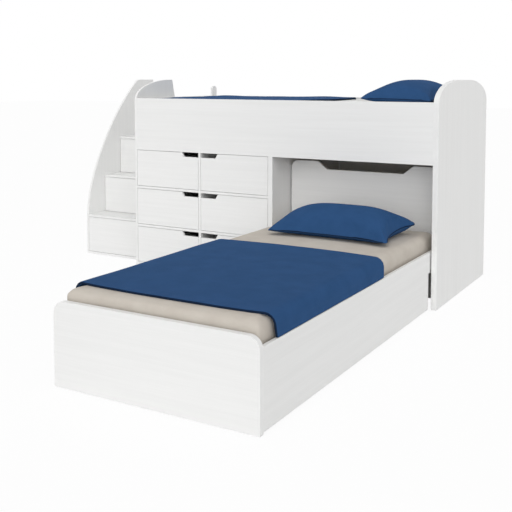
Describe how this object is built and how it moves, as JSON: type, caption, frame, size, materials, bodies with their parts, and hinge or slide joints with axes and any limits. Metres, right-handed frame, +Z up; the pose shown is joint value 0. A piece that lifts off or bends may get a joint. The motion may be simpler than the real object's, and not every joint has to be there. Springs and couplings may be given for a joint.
{
  "type": "bunk bed with storage stairs",
  "caption": "Mid-height bunk bed with a dresser and storage stairs, and a low bed that slides out of the niche under it.",
  "frame": {"origin": "on the floor, under the centre of the bounding box", "axes": "+Z up, +Y from the low bed's foot towards the wall, +X along the high bed from the stairs to the other end"},
  "size_m": [2.497, 2.658, 1.18],
  "materials": {
    "white_melamine": "white melamine-faced board, faint embossed grain",
    "drawer_board": "white melamine-faced board, thin",
    "back_hardboard": "white lacquered hardboard",
    "slat_pine": "planed pine",
    "zinc_steel": "zinc-plated",
    "beige_ticking": "woven mattress ticking",
    "white_sheet": "woven cotton sheet",
    "blue_cotton": "matt cotton twill",
    "grey_plastic": "moulded"
  },
  "bodies": {
    "bunk": {"right_end_panel": "white_melamine", "left_end_panel": "white_melamine", "upper_front_rail": "white_melamine", "upper_back_rail": "white_melamine", "upper_front_cleat": "slat_pine", "upper_back_cleat": "slat_pine", "upper_slats": "slat_pine", "upper_corner_brackets": "zinc_steel", "upper_mattress": "white_sheet", "upper_blanket": "blue_cotton", "upper_pillow": "blue_cotton", "dresser_side_panel": "white_melamine", "dresser_top_panel": "white_melamine", "dresser_bottom_panel": "white_melamine", "dresser_base_rail": "white_melamine", "dresser_centre_divider": "white_melamine", "dresser_back_panel": "back_hardboard", "niche_back_panel": "back_hardboard", "drawer_divider_rails": "white_melamine", "stair_side_panel": "white_melamine", "stair_inner_panel": "white_melamine", "stair_bottom_panel": "white_melamine", "stair_back_panel": "back_hardboard", "stair_tread_1": "white_melamine", "stair_tread_2": "white_melamine", "stair_tread_3": "white_melamine", "drawer_runner_strips": "grey_plastic", "floor_glides": "grey_plastic"},
    "low_bed": {"footboard": "white_melamine", "headboard": "white_melamine", "lower_left_rail": "white_melamine", "lower_right_rail": "white_melamine", "lower_left_cleat": "slat_pine", "lower_right_cleat": "slat_pine", "lower_slats": "slat_pine", "lower_corner_brackets": "zinc_steel", "lower_mattress": "beige_ticking", "lower_blanket": "blue_cotton", "lower_pillow": "blue_cotton", "lower_floor_glides": "grey_plastic"},
    "drawer_left_top": {"drawer_left_top_front": "white_melamine", "drawer_left_top_box": "drawer_board"},
    "drawer_left_middle": {"drawer_left_middle_front": "white_melamine", "drawer_left_middle_box": "drawer_board"},
    "drawer_left_bottom": {"drawer_left_bottom_front": "white_melamine", "drawer_left_bottom_box": "drawer_board"},
    "drawer_right_top": {"drawer_right_top_front": "white_melamine", "drawer_right_top_box": "drawer_board"},
    "drawer_right_middle": {"drawer_right_middle_front": "white_melamine", "drawer_right_middle_box": "drawer_board"},
    "drawer_right_bottom": {"drawer_right_bottom_front": "white_melamine", "drawer_right_bottom_box": "drawer_board"},
    "stair_drawer_1": {"stair_drawer_1_front": "white_melamine", "stair_drawer_1_box": "drawer_board"},
    "stair_drawer_2": {"stair_drawer_2_front": "white_melamine", "stair_drawer_2_box": "drawer_board"},
    "stair_drawer_3": {"stair_drawer_3_front": "white_melamine", "stair_drawer_3_box": "drawer_board"}
  },
  "joints": [
    {"name": "drawer_left_top_slide", "type": "slide", "parent": "bunk", "child": "drawer_left_top", "axis": [0, -1, 0], "range_m": [0, 0.4]},
    {"name": "drawer_left_middle_slide", "type": "slide", "parent": "bunk", "child": "drawer_left_middle", "axis": [0, -1, 0], "range_m": [0, 0.4]},
    {"name": "drawer_left_bottom_slide", "type": "slide", "parent": "bunk", "child": "drawer_left_bottom", "axis": [0, -1, 0], "range_m": [0, 0.4]},
    {"name": "drawer_right_top_slide", "type": "slide", "parent": "bunk", "child": "drawer_right_top", "axis": [0, -1, 0], "range_m": [0, 0.4]},
    {"name": "drawer_right_middle_slide", "type": "slide", "parent": "bunk", "child": "drawer_right_middle", "axis": [0, -1, 0], "range_m": [0, 0.4]},
    {"name": "drawer_right_bottom_slide", "type": "slide", "parent": "bunk", "child": "drawer_right_bottom", "axis": [0, -1, 0], "range_m": [0, 0.4]},
    {"name": "stair_drawer_1_slide", "type": "slide", "parent": "bunk", "child": "stair_drawer_1", "axis": [0, -1, 0], "range_m": [0, 0.5]},
    {"name": "stair_drawer_2_slide", "type": "slide", "parent": "bunk", "child": "stair_drawer_2", "axis": [0, -1, 0], "range_m": [0, 0.36]},
    {"name": "stair_drawer_3_slide", "type": "slide", "parent": "bunk", "child": "stair_drawer_3", "axis": [0, -1, 0], "range_m": [0, 0.22]},
    {"name": "low_bed_slide", "type": "slide", "parent": "bunk", "child": "low_bed", "axis": [0, -1, 0], "range_m": [0, 0.3]}
  ]
}
